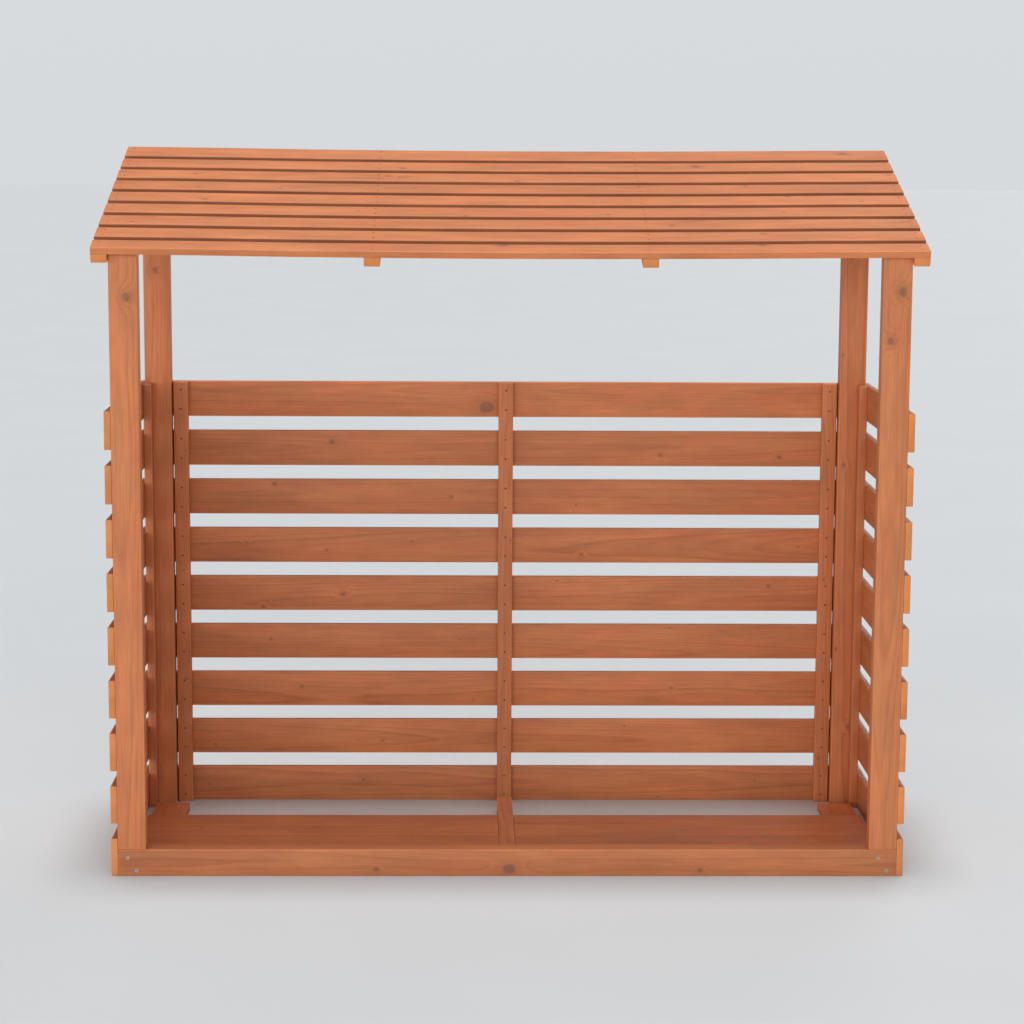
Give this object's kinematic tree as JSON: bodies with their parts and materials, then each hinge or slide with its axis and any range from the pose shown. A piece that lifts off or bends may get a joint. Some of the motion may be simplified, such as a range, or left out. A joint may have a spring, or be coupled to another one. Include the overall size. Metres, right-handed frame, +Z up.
{
  "type": "firewood log rack",
  "caption": "Outdoor log rack of stained softwood with slatted back and sides, a sloping slatted roof and an open front, for stacking firewood off the ground.",
  "frame": {"origin": "on the ground, in the middle of the rack's footprint", "axes": "+X to the right along the rack's length as seen from its open front, +Y to the slatted back, +Z up"},
  "size_m": [1.842, 0.708, 1.6326],
  "materials": {
    "frame_timber": "planed softwood, orange-brown stain, satin",
    "wall_timber": "planed softwood, orange-brown stain, satin",
    "roof_timber": "planed softwood, orange-brown stain, satin",
    "floor_timber": "planed softwood, orange-brown stain, satin",
    "wire_nails": "dull steel, stained over",
    "wood_screws": "zinc plated"
  },
  "bodies": {
    "root": {"front_rail": "frame_timber", "front_left_post": "frame_timber", "back_left_post": "frame_timber", "front_right_post": "frame_timber", "back_right_post": "frame_timber", "back_slat_1": "wall_timber", "back_slat_2": "wall_timber", "back_slat_3": "wall_timber", "back_slat_4": "wall_timber", "back_slat_5": "wall_timber", "back_slat_6": "wall_timber", "back_slat_7": "wall_timber", "back_slat_8": "wall_timber", "back_slat_9": "wall_timber", "back_left_batten": "wall_timber", "back_center_batten": "wall_timber", "back_right_batten": "wall_timber", "left_slat_1": "wall_timber", "left_slat_2": "wall_timber", "left_slat_3": "wall_timber", "left_slat_4": "wall_timber", "left_slat_5": "wall_timber", "left_slat_6": "wall_timber", "left_slat_7": "wall_timber", "left_slat_8": "wall_timber", "left_slat_9": "wall_timber", "left_front_batten": "wall_timber", "left_back_batten": "wall_timber", "right_slat_1": "wall_timber", "right_slat_2": "wall_timber", "right_slat_3": "wall_timber", "right_slat_4": "wall_timber", "right_slat_5": "wall_timber", "right_slat_6": "wall_timber", "right_slat_7": "wall_timber", "right_slat_8": "wall_timber", "right_slat_9": "wall_timber", "right_front_batten": "wall_timber", "right_back_batten": "wall_timber", "roof_slat_1": "roof_timber", "roof_slat_2": "roof_timber", "roof_slat_3": "roof_timber", "roof_slat_4": "roof_timber", "roof_slat_5": "roof_timber", "roof_slat_6": "roof_timber", "roof_slat_7": "roof_timber", "roof_slat_8": "roof_timber", "roof_slat_9": "roof_timber", "left_rafter": "roof_timber", "middle_left_rafter": "roof_timber", "middle_right_rafter": "roof_timber", "right_rafter": "roof_timber", "floor_left_bearer": "floor_timber", "floor_right_bearer": "floor_timber", "floor_runner": "floor_timber", "floor_boards": "floor_timber", "panel_nails": "wire_nails", "roof_nails": "wire_nails", "short_screws": "wood_screws", "long_screws": "wood_screws"}
  },
  "joints": []
}
